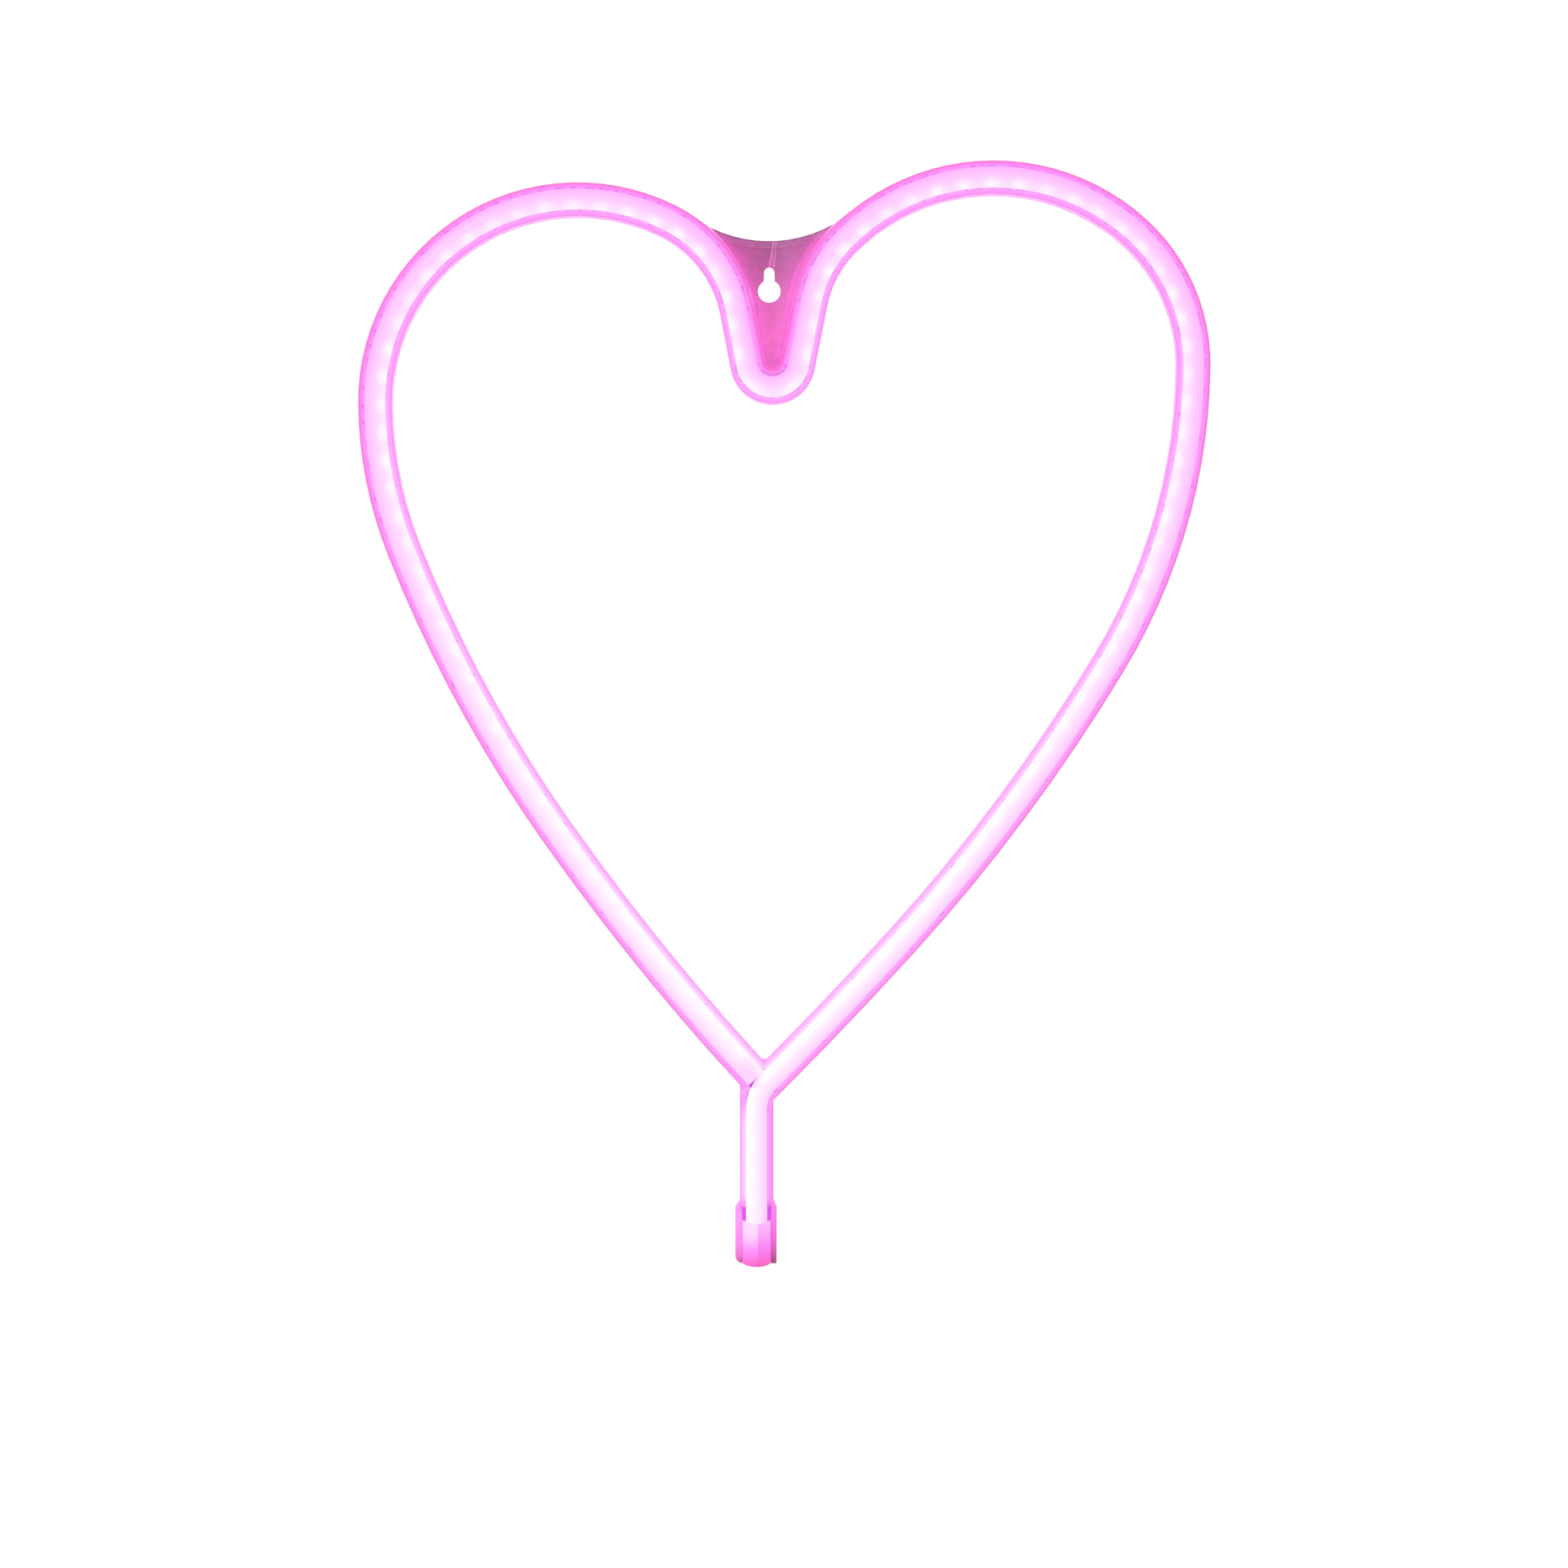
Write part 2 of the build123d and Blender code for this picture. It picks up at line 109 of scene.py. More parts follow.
def polar(angle, length=1.0):
    """Vector of that length, in x and z, at an angle in degrees from +x."""
    turn = np.radians(angle)
    return np.stack((np.cos(turn), np.sin(turn)), -1) * length


class Piece:
    """One leg or bend of a half's centreline. side is -1 for the heart's left half and 1 for its right."""

    def __init__(self, side, start, heading, size, turn=None):
        self.side, self.start, self.heading, self.size, self.turn = side, start, heading, size, turn
        if turn is None:
            self.end, self.end_heading = start + polar(heading, size), heading
        else:
            self.hand = 1 if turn > 0 else -1
            self.centre = start + polar(heading + 90 * self.hand, size)
            self.end_heading = heading + turn
            self.end = self.centre + polar(self.end_heading - 90 * self.hand, size)
        self.board_length = self.length_at(BOARD_FACE)

    def length_at(self, outward):
        """Length when it is drawn that far towards the outside of the heart."""
        if self.turn is None:
            return self.size
        return (self.size - self.side * outward * self.hand) * math.radians(abs(self.turn))

    def at(self, share, outward=0.0):
        """Point or points at a share of the length, offset towards the outside of the heart."""
        share = np.asarray(share, float)
        offset = self.side * outward
        if self.turn is None:
            reached = self.start + polar(self.heading) * (self.size * share)[..., None]
            return reached + polar(self.heading + 90, offset)
        spoke = self.heading + self.turn * share - 90 * self.hand
        return self.centre + polar(spoke, self.size - offset * self.hand)

    def nearest(self, points):
        """For each point: share of the length at its nearest place, its side of the line, and distance."""
        if self.turn is None:
            share = np.clip((points - self.start) @ polar(self.heading) / self.size, 0, 1)
            offset = (points - self.start) @ polar(self.heading + 90)
        else:
            spoke = points - self.centre
            half = math.radians(abs(self.turn)) / 2
            angle = np.arctan2(spoke[:, 1], spoke[:, 0]) - math.radians(self.heading - 90 * self.hand)
            angle = (self.hand * angle - half + math.pi) % (2 * math.pi) - math.pi + half
            share = np.clip(angle / (2 * half), 0, 1)
            offset = (self.size - np.linalg.norm(spoke, axis=1)) * self.hand
        return share, self.side * np.sign(offset), np.linalg.norm(points - self.at(share), axis=1)


def half_heart(side):
    heading = 0 if side > 0 else 180
    pieces = [Piece(side, NOTCH_BOTTOM, heading, NOTCH_RADIUS, side * NOTCH_TURN[side])]
    for step in RUNS[side]:
        last = pieces[-1]
        turn = None if len(step) == 1 else -side * step[1]
        pieces.append(Piece(side, last.end, last.end_heading, step[0] * PERCENT, turn))
    return pieces


left, right = half_heart(-1), half_heart(1)
arm = right[-1]
right.append(Piece(1, arm.end, arm.end_heading, STEM_BEND_RADIUS, 270 - arm.end_heading % 360))
right.append(Piece(1, right[-1].end, 270, right[-1].end[1] - tube_low.z))


def on_path(points, halves=(left, right)):
    """(offset outward, length along the board from the notch, distance) of each point from the centreline."""
    best = np.full(len(points), 1e9)
    across, along = np.zeros(len(points)), np.zeros(len(points))
    for pieces in halves:
        travelled = 0.0
        for piece in pieces:
            share, way, distance = piece.nearest(points)
            closer = (distance < best) & ((piece is not left[-1]) | (share < 1))
            best[closer] = distance[closer]
            across[closer] = (way * distance)[closer]
            along[closer] = travelled + share[closer] * piece.board_length
            travelled += piece.board_length
    return across, along, best


def touching_centre(first, second, radius):
    """Centre of the circle that touches the tray's outer edge on two bends, from above them."""
    reach = [bend.size + TRAY_HALF + radius for bend in (first, second)]
    apart = np.linalg.norm(second.centre - first.centre)
    along = (reach[0] ** 2 - reach[1] ** 2 + apart ** 2) / (2 * apart)
    rise = math.sqrt(reach[0] ** 2 - along ** 2)
    unit = (second.centre - first.centre) / apart
    return first.centre + unit * along + np.array((-unit[1], unit[0])) * rise


EDGE_CENTRE = touching_centre(left[2], right[3], EDGE_RADIUS)


# Shader building

def srgb(red, green, blue):
    """Display colour, 0 to 255, as the linear colour that shaders take."""
    shares = [c / 255 for c in (red, green, blue)]
    return tuple(((c + 0.055) / 1.055) ** 2.4 if c > 0.04045 else c / 12.92 for c in shares) + (1.0,)


BLACK = (0.0, 0.0, 0.0, 1.0)
SHEEN = (0.034, 0.034, 0.034, 1.0)      # what the room's reflection adds to a lit surface


class Shader:
    """A material under construction. Values are numbers or sockets."""

    def __init__(self, name):
        self.material = bpy.data.materials.new(name)
        self.material.use_nodes = True
        self.nodes, self.links = self.material.node_tree.nodes, self.material.node_tree.links
        self.surface = self.nodes["Principled BSDF"]
        self.place = self.node("ShaderNodeTexCoord").outputs["Object"]

    def node(self, kind, **settings):
        made = self.nodes.new(kind)
        for name, value in settings.items():
            setattr(made, name, value)
        return made

    def put(self, socket, value):
        if isinstance(value, bpy.types.NodeSocket):
            self.links.new(value, socket)
        elif value is not None:
            socket.default_value = value

    def math(self, operation, a, b=None, c=None):
        made = self.node("ShaderNodeMath", operation=operation)
        for socket, value in zip(made.inputs, (a, b, c)):
            self.put(socket, value)
        return made.outputs[0]

    def times(self, *values):
        product = values[0]
        for value in values[1:]:
            product = self.math("MULTIPLY", product, value)
        return product

    def minus(self, a, b):
        return self.math("SUBTRACT", a, b)

    def gap(self, a, b=0.0):
        """How far a number is from another, or from 0."""
        return self.math("ABSOLUTE", self.minus(a, b))

    def length(self, a, b):
        """Length of the vector with those two parts."""
        return self.math("SQRT", self.math("MULTIPLY_ADD", a, a, self.times(b, b)))

    def step(self, value, low, high, start=0.0, end=1.0):
        """Smooth change from start to end as value goes from low to high."""
        made = self.node("ShaderNodeMapRange", interpolation_type="SMOOTHSTEP")
        for socket, given in zip(made.inputs, (value, low, high, start, end)):
            self.put(socket, given)
        return made.outputs[0]

    def mix(self, share, a, b, blend="MIX"):
        made = self.node("ShaderNodeMix", data_type="RGBA", blend_type=blend)
        for socket, value in zip((made.inputs[0], made.inputs[6], made.inputs[7]), (share, a, b)):
            self.put(socket, value)
        return made.outputs[2]

    def ramp(self, value, low, high, stops):
        """Colour that changes with value; each stop is (value, display colour)."""
        made = self.node("ShaderNodeValToRGB")
        share = self.node("ShaderNodeMapRange")
        for socket, given in zip(share.inputs, (value, low, high, 0.0, 1.0)):
            self.put(socket, given)
        self.links.new(share.outputs[0], made.inputs[0])
        elements = made.color_ramp.elements
        while len(elements) < len(stops):
            elements.new(0.5)
        for element, (at, colour) in zip(elements, sorted(stops)):
            element.position = (at - low) / (high - low)
        for element, (at, colour) in zip(elements, sorted(stops)):
            element.color = srgb(*colour)
        return made.outputs[0]

    def attribute(self, name):
        return self.node("ShaderNodeAttribute", attribute_name=name).outputs["Fac"]

    def axes(self):
        """Object position in mm: x, depth out of the wall, z."""
        parts = self.node("ShaderNodeSeparateXYZ")
        self.links.new(self.place, parts.inputs[0])
        x, y, z = parts.outputs
        return self.times(x, 1 / MM), self.times(y, -1 / MM), self.times(z, 1 / MM)

    def noise(self, size, detail=3.0, roughness=0.55):
        """Noise from 0 to 1, with features about that many mm across."""
        made = self.node("ShaderNodeTexNoise")
        self.links.new(self.place, made.inputs["Vector"])
        made.inputs["Scale"].default_value = 1 / (size * MM)
        made.inputs["Detail"].default_value = detail
        made.inputs["Roughness"].default_value = roughness
        return made.outputs["Fac"]

    def bump(self, height, distance, strength=1.0):
        """Bump whose height, from 0 to 1, stands for that many mm."""
        made = self.node("ShaderNodeBump")
        made.inputs["Strength"].default_value = strength
        made.inputs["Distance"].default_value = distance * MM
        self.put(made.inputs["Height"], height)
        self.put(self.surface.inputs["Normal"], made.outputs[0])

    def rough(self, low, high, size):
        """Roughness that wanders between two values."""
        self.put(self.surface.inputs["Roughness"], self.step(self.noise(size), 0.3, 0.7, low, high))

    def lit(self, colour, own, glow):
        """Surface of that colour: a share of it reflects and a share of it shines."""
        colour = self.mix(1.0, colour, SHEEN, "SUBTRACT")
        self.put(self.surface.inputs["Base Color"], self.mix(own, BLACK, colour))
        self.put(self.surface.inputs["Emission Color"], self.mix(glow, BLACK, colour))
        self.surface.inputs["Emission Strength"].default_value = 1.0


# Materials of the lit pieces

def tube_silicone():
    """Milky silicone. The LEDs sit on its outer side and throw a soft spot each on its inner side."""
    shader = Shader("tube_silicone")
    across, along = shader.attribute("across"), shader.attribute("along")
    x, depth, z = shader.axes()
    upper = shader.ramp(across, -3.2, 3.2, (
        (-3.0, (254, 222, 254)), (-2.3, (254, 226, 254)), (-1.2, (254, 217, 254)), (-0.2, (254, 204, 254)),
        (1.5, (254, 193, 254)), (3.0, (254, 178, 254))))
    lower = shader.ramp(across, -3.2, 3.2, (
        (-3.0, (255, 253, 255)), (-2.0, (255, 250, 255)), (-0.2, (255, 238, 255)),
        (1.5, (255, 224, 255)), (3.0, (254, 205, 254))))
    fall = shader.step(z, GLOW_HIGH, GLOW_LOW)
    colour = shader.mix(fall, upper, lower)

    # The LEDs' spots, uneven from one to the next, and the bright line along the inner edge
    beat = shader.math("COSINE", shader.times(shader.minus(along, 0.5), 2 * math.pi))
    beat = shader.math("POWER", shader.math("MULTIPLY_ADD", beat, 0.5, 0.5), 1.3)
    cloud = shader.step(shader.noise(14.0, 1.0), 0.3, 0.7, 0.55, 1.0)
    spot = shader.times(beat, shader.step(across, 0.9, -2.3), cloud)
    line = shader.times(shader.step(across, -2.3, -2.8), shader.step(fall, 0.0, 1.0, 0.25, 0.9))
    bright = srgb(255, 254, 255)
    colour = shader.mix(shader.times(spot, 0.92), colour, bright)
    colour = shader.mix(line, colour, bright)

    # The left arm is pinker near its cut end, most of all on its outer side
    to_cut = shader.attribute("to_cut")
    ending = shader.times(
        shader.step(to_cut, 13.0, 5.5),
        shader.step(across, -3.0, 0.5, 0.35, 1.0),
        shader.step(to_cut, 3.0, 4.2, 0.55, 0.9))
    colour = shader.mix(ending, colour, srgb(254, 208, 254))
    colour = shader.mix(shader.step(depth, 11.5, 12.9, 0.75, 0.0), colour, srgb(250, 148, 244))
    shader.lit(colour, 0.26, 0.72)
    shader.rough(0.3, 0.42, 6.0)
    shader.bump(shader.noise(0.8, 4.0), 0.01)
    return shader.material


def shade(shader, colour, size, amount):
    """Colour made lighter and darker by a share, in patches of that many mm."""
    tone = shader.node("ShaderNodeCombineXYZ")
    for socket in tone.inputs:
        shader.put(socket, shader.step(shader.noise(size, 2.0), 0.25, 0.75, 1 - amount, 1 + amount))
    return shader.mix(1.0, colour, tone.outputs[0], "MULTIPLY")


def web_colour(shader, near, x, z):
    """Web between the lobes: mauve in its middle, glowing at the walls' feet, with a lip and a weld line."""
    high = shader.ramp(near, 0.0, 12.0, (
        (0.0, (246, 122, 218)), (0.7, (240, 112, 205)), (1.5, (220, 104, 184)), (3.3, (196, 95, 163)),
        (5.5, (185, 94, 155)), (12.0, (178, 96, 152))))
    low = shader.ramp(near, 0.0, 12.0, (
        (0.0, (255, 144, 242)), (0.8, (252, 130, 226)), (1.8, (254, 128, 220)), (3.0, (252, 124, 213)),
        (5.0, (246, 119, 205)), (12.0, (234, 114, 194))))
    colour = shader.mix(shader.step(z, 12.0, -13.0), high, low)
    colour = shader.mix(shader.step(x, -1.0, 6.0, 0.0, 0.1), colour, srgb(255, 190, 255))
    # A glowing band runs out from the right lobe's wall, and a darker line of painted shade marks where the
    # wall's foot meets the web
    band = shader.times(shader.step(x, 2.0, 4.0), shader.step(near, WALL_FOOT_SHADE, 1.9))
    colour = shader.mix(shader.times(band, 0.55), colour, srgb(254, 124, 222))
    foot_shade = shader.times(shader.step(x, 2.0, 5.0), shader.step(shader.gap(near, WALL_FOOT_SHADE), 0.28, 0.08))
    colour = shader.mix(shader.times(foot_shade, 0.3), colour, srgb(214, 90, 178))

    # The concave top edge is greyer with painted shade, as its face turns away from the light, and a painted
    # highlight marks where the lip's step catches light
    from_centre = shader.length(shader.minus(x, EDGE_CENTRE[0] / MM), shader.minus(z, EDGE_CENTRE[1] / MM))
    drop = shader.minus(from_centre, EDGE_RADIUS / MM)
    colour = shader.mix(shader.step(drop, 2.1, 1.0, 0.0, 0.4), colour, srgb(176, 108, 158))
    colour = shader.mix(shader.step(drop, 0.55, 0.1, 0.0, 0.7), colour, srgb(140, 80, 120))
    lip = shader.step(shader.gap(drop, LIP_WIDTH / MM), 0.3, 0.08)
    colour = shader.mix(shader.times(lip, 0.4), colour, srgb(226, 140, 200))
    colour = weld(shader, colour, x, z)
    return shade(shader, shade(shader, colour, 1.4, 0.05), 8.0, 0.05)


def weld(shader, colour, x, z):
    """Where the melt met above the keyhole: two pale lines that draw together towards the top edge."""
    rise = shader.times(shader.minus(z, WELD_FOOT), 1 / WELD_LENGTH)
    from_left = shader.minus(x, shader.times(rise, 1.2))
    from_right = shader.minus(x, shader.math("MULTIPLY_ADD", rise, 0.6, 1.4))
    reach = shader.step(z, WELD_FOOT - 0.6, WELD_FOOT)
    inside = shader.times(shader.step(from_left, -0.1, 0.1), shader.step(from_right, 0.1, -0.1))
    inside = shader.times(inside, shader.step(rise, 1.1, 0.0, 0.15, 0.65), reach)
    colour = shader.mix(inside, colour, srgb(236, 106, 190))
    for offset, strength in ((from_left, 0.6), (from_right, 0.35)):
        line = shader.times(shader.step(shader.gap(offset), 0.24, 0.06), reach)
        colour = shader.mix(shader.times(line, strength), colour, srgb(238, 176, 214))
    return colour


def end_colour(shader, x, depth, z):
    """Rims and pockets of the widened lower end, greyer towards its corners."""
    side = shader.minus(x, STEM_X / MM)
    low_end = tray_low.z / MM
    left_rim = shader.ramp(z, low_end, low_end + 20.0, (
        (low_end, (196, 106, 160)), (low_end + 1.5, (232, 122, 200)), (low_end + 5.0, (253, 140, 234)),
        (low_end + 11.0, (254, 156, 250)), (low_end + 19.0, (253, 160, 252))))
    right_rim = shader.ramp(z, low_end, low_end + 20.0, (
        (low_end, (150, 78, 112)), (low_end + 2.0, (200, 88, 150)), (low_end + 6.0, (238, 108, 206)),
        (low_end + 12.0, (252, 128, 232)), (low_end + 19.0, (252, 146, 246))))
    colour = shader.mix(shader.step(side, -2.0, 2.0), left_rim, right_rim)
    colour = shader.mix(shader.step(side, 5.2, 5.7, 0.0, 0.5), colour, srgb(196, 88, 160))
    pocket = shader.times(shader.step(shader.gap(side), 4.4, 4.2), shader.step(depth, 11.6, 10.8))
    return shader.mix(pocket, colour, srgb(242, 118, 250))


def rim_colour(shader, across, z):
    """Rims: lilac beside the tube, and pinker towards their outer edges."""
    upper = shader.ramp(across, -4.8, 4.8, (
        (-4.75, (236, 142, 228)), (-4.4, (251, 150, 246)), (-3.9, (253, 156, 254)), (-3.3, (253, 168, 254)),
        (-3.05, (253, 186, 254)), (3.1, (252, 156, 254)), (3.6, (253, 144, 250)), (4.1, (251, 134, 232)),
        (4.45, (248, 120, 214)), (4.75, (234, 108, 194))))
    lower = shader.ramp(across, -4.8, 4.8, (
        (-4.75, (240, 160, 236)), (-4.4, (251, 176, 250)), (-3.9, (253, 190, 254)), (-3.3, (253, 216, 254)),
        (-3.05, (254, 236, 254)), (3.1, (252, 176, 254)), (3.6, (253, 158, 252)), (4.1, (252, 148, 244)),
        (4.45, (246, 140, 222)), (4.75, (226, 134, 202))))
    return shader.mix(shader.step(z, GLOW_HIGH, GLOW_LOW), upper, lower)


def fork_colour(shader, colour, near, depth, x, z):
    """The rim's wide corner left of the fork, and painted shade in the gap beside the left arm's cut end."""
    corner = shader.times(
        shader.step(z, *CORNER_FOOT), shader.step(x, *CORNER_SIDE), shader.step(z, *CORNER_TOP))
    colour = shader.mix(shader.times(corner, 0.8), colour, srgb(248, 152, 248))
    # Painted shade: the gap beside the cut end is coloured dark
    inside = shader.times(shader.step(near, -0.8, -1.2), shader.step(depth, *RIM_DEPTH))
    at_fork = shader.times(
        shader.step(z, *FORK_FOOT), shader.step(z, *FORK_TOP), shader.step(x, -0.5, -1.5))
    return shader.mix(shader.times(inside, at_fork), colour, srgb(204, 92, 220))


def back_colour(shader, near, x, z, between_lobes):
    """The back glows through its floor, and shows the web's own colour between the lobes."""
    offset = shader.math("ADD", near, TRAY_HALF / MM)
    from_stem = shader.gap(x, STEM_X / MM)
    in_stem = shader.step(z, *STEM_TOP)
    offset = shader.math("MULTIPLY_ADD", in_stem, shader.minus(from_stem, offset), offset)
    glow = shader.ramp(offset, 0.0, 5.0, (
        (0.0, (252, 158, 246)), (2.5, (250, 146, 238)), (4.2, (242, 126, 214)), (5.0, (226, 110, 190))))
    on_web = shader.times(shader.step(near, -0.6, 1.0), shader.step(z, WEB_LOW / MM - 2, WEB_LOW / MM))
    return shader.mix(on_web, shade(shader, glow, 9.0, 0.06), between_lobes)


def tray_plastic():
    """Translucent moulding that the tube lights from inside: brightest at its rims, mauve in the web."""
    shader = Shader("tray_plastic")
    across, near, along, web = (shader.attribute(name) for name in ("across", "near", "along", "web"))
    x, depth, z = shader.axes()
    in_wall = shader.step(depth, *RIM_DEPTH)
    walls = shader.ramp(depth, 0.0, 12.4, (
        (0.0, (226, 98, 186)), (2.0, (240, 108, 204)), (6.0, (250, 120, 222)), (10.0, (253, 134, 238)),
        (12.2, (250, 146, 244))))
    colour = shader.mix(in_wall, rim_colour(shader, across, z), walls)
    lilac = shader.times(shader.step(across, 0.5, -0.5), in_wall)
    colour = shader.mix(shader.times(lilac, 0.6), colour, srgb(238, 140, 242))
    colour = shader.mix(shader.step(z, *END_TOP), colour, end_colour(shader, x, depth, z))
    colour = fork_colour(shader, colour, near, depth, x, z)
    between_lobes = web_colour(shader, near, x, z)
    colour = shader.mix(web, colour, between_lobes)

    # The back, with the round marks of the mould's ejector pins, which are slightly sunk
    is_back = shader.step(depth, 0.3, 0.05)
    colour = shader.mix(is_back, colour, back_colour(shader, near, x, z, between_lobes))
    pitch = shader.minus(shader.math("MODULO", along, PIN_PITCHES), PIN_PITCHES / 2)
    ring = shader.minus(shader.length(shader.times(pitch, LED_PITCH / MM), across), PIN_RADIUS)
    mark = shader.times(shader.step(shader.gap(ring), 0.22, 0.08), is_back)
    colour = shader.mix(shader.times(mark, 0.45), colour, srgb(214, 104, 186))
    shader.lit(colour, 0.45, 0.52)
    shader.rough(0.26, 0.4, 4.0)
    pressed = shader.times(shader.step(ring, 0.1, -0.1), is_back)
    grain = shader.times(shader.noise(0.5, 4.0), 0.15)
    shader.bump(shader.minus(grain, pressed), 0.08)
    return shader.material


def cap_plastic():
    """Translucent cap: pale where the tube's end lights it, hot pink at its foot, deeper on its right."""
    shader = Shader("cap_plastic")
    x, depth, z = shader.axes()
    drop = shader.minus(cap_high.z / MM, z)
    pale = shader.ramp(drop, 0.0, 13.0, (
        (0.0, (255, 222, 255)), (4.0, (254, 212, 254)), (6.0, (254, 186, 254)), (8.0, (253, 152, 252)),
        (10.0, (254, 132, 236)), (11.6, (254, 116, 218)), (13.0, (250, 104, 200))))
    deep = shader.ramp(drop, 0.0, 13.0, (
        (0.0, (254, 192, 254)), (3.0, (254, 174, 253)), (6.0, (252, 148, 251)), (8.5, (252, 126, 240)),
        (10.5, (254, 116, 220)), (13.0, (248, 100, 190))))
    side = shader.minus(x, STEM_X / MM)
    colour = shader.mix(shader.step(side, 0.2, 0.55), pale, deep)
    colour = shader.mix(shader.step(side, 3.4, 4.1, 0.0, 0.35), colour, srgb(246, 104, 214))
    colour = shader.mix(shader.step(side, -3.5, -4.1, 0.0, 0.35), colour, srgb(252, 150, 246))
    colour = shader.mix(shader.step(depth, 11.0, 3.0, 0.0, 0.8), colour, srgb(240, 112, 205))
    shader.lit(colour, 0.4, 0.56)
    shader.rough(0.24, 0.36, 3.0)
    shader.bump(shader.noise(0.6, 3.0), 0.01)
    return shader.material


# Materials of the pieces inside, which are plain moulded, plated or printed ones

def plain(name, dark, bright, size, roughness, metallic=0.0, grain=0.01):
    """Surface whose colour wanders between two, with a fine bump."""
    shader = Shader(name)
    shader.put(shader.surface.inputs["Base Color"],
               shader.mix(shader.step(shader.noise(size), 0.3, 0.7), srgb(*dark), srgb(*bright)))
    shader.surface.inputs["Metallic"].default_value = metallic
    shader.rough(roughness, roughness + 0.15, size)
    shader.bump(shader.noise(size / 4, 4.0), grain)
    return shader


def led_window():
    """Phosphor resin over the chip, brightest in its middle."""
    shader = plain("led_window", (255, 214, 236), (255, 232, 246), 0.8, 0.3)
    x, depth, z = shader.axes()
    middle = shader.step(shader.gap(depth, HOLLOW_MIDDLE), 1.4, 0.2)
    shader.put(shader.surface.inputs["Emission Color"],
               shader.mix(middle, srgb(255, 150, 220), srgb(255, 236, 252)))
    shader.surface.inputs["Emission Strength"].default_value = 1.2
    return shader.material


def board_film():
    """White mask on flexible film; the copper lines under it show as two warmer bands."""
    shader = plain("board_film", (228, 226, 218), (242, 241, 236), 1.5, 0.45)
    x, depth, z = shader.axes()
    offset = shader.gap(depth, HOLLOW_MIDDLE)
    band = shader.times(shader.step(offset, 0.8, 0.95), shader.step(offset, 2.3, 2.15))
    grain = shader.mix(shader.step(shader.noise(1.5), 0.3, 0.7), srgb(228, 226, 218), srgb(242, 241, 236))
    shader.put(shader.surface.inputs["Base Color"],
               shader.mix(shader.times(band, 0.35), grain, srgb(214, 186, 140)))
    return shader.material


PLAIN = {
    "tube_end_plug": ("plug_silicone", (236, 214, 228), (248, 232, 242), 2.0, 0.35, 0.0),
    "adhesive_beads": ("adhesive", (232, 210, 224), (246, 230, 240), 1.2, 0.3, 0.0),
    "led_packages": ("led_package", (236, 236, 230), (248, 248, 244), 0.8, 0.35, 0.0),
    "chip_resistors": ("resistor_black", (24, 24, 27), (44, 44, 48), 0.4, 0.4, 0.0),
    "splice_solder": ("solder", (170, 171, 176), (214, 215, 220), 0.5, 0.22, 1.0),
    "lead_solder": ("solder_inlet", (170, 171, 176), (214, 215, 220), 0.5, 0.22, 1.0),
    "positive_lead": ("lead_red", (170, 22, 20), (206, 40, 34), 0.6, 0.4, 0.0),
    "negative_lead": ("lead_black", (20, 20, 22), (42, 42, 46), 0.6, 0.4, 0.0),
    "inlet_pin": ("pin_nickel", (186, 184, 174), (226, 224, 214), 0.7, 0.18, 1.0),
    "inlet_contact": ("contact_nickel", (180, 178, 168), (220, 218, 208), 0.7, 0.2, 1.0),
    "inlet_body": ("inlet_plastic", (216, 206, 214), (236, 228, 234), 1.5, 0.4, 0.0),
}


# Meshes

def new_object(name, build, material, node):
    """Object made from a bmesh, which stands for one CAD node."""
    mesh = bpy.data.meshes.new(name)
    build.to_mesh(mesh)
    build.free()
    mesh.materials.append(material)
    mesh.shade_smooth()
    mesh.set_sharp_from_angle(angle=math.radians(32))
    mark_path(mesh)
    mark_faces(mesh)
    piece = bpy.data.objects.new(name, mesh)
    bpy.context.scene.collection.objects.link(piece)
    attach(piece, "root")
    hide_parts(node)
    return piece


def mark_path(mesh):
    """Per-vertex values that the materials read: across, near and to_cut in mm, and along in LED pitches."""
    points = np.array([(v.co.x, v.co.z) for v in mesh.vertices])
    across, along, distance = on_path(points)
    to_cut = np.full(len(points), FAR)
    if "left_half" in mesh.attributes:
        own = np.zeros(len(points), np.float32)
        mesh.attributes["left_half"].data.foreach_get("value", own)
        own = own > 0.5
        across[own], along[own], distance[own] = on_path(points[own], (left,))
        to_cut[own] = on_path(points[own], ([arm],))[2]
    values = {"across": across / MM, "near": (distance - TRAY_HALF) / MM, "along": along / LED_PITCH,
              "to_cut": to_cut / MM}
    for name, value in values.items():
        mesh.attributes.new(name, "FLOAT", "POINT").data.foreach_set("value", value.astype(np.float32))


def mark_faces(mesh):
    """Per-face value that the tray's material reads: 1 on the web between the lobes."""
    count = len(mesh.polygons)
    centres, normals = np.zeros(3 * count), np.zeros(3 * count)
    mesh.polygons.foreach_get("center", centres)
    mesh.polygons.foreach_get("normal", normals)
    centres, normals = centres.reshape(-1, 3), normals.reshape(-1, 3)
    distance = on_path(centres[:, [0, 2]])[2]
    in_place = (centres[:, 2] > WEB_LOW) & (-centres[:, 1] < WEB_FRONT)
    parallel = (np.abs(normals[:, 1]) > 0.5) & (distance > TRAY_HALF - WEB_OVERLAP)
    web = in_place & (parallel | (distance > TRAY_HALF + FOOT_SPREAD))
    mesh.attributes.new("web", "FLOAT", "FACE").data.foreach_set("value", web.astype(np.float32))


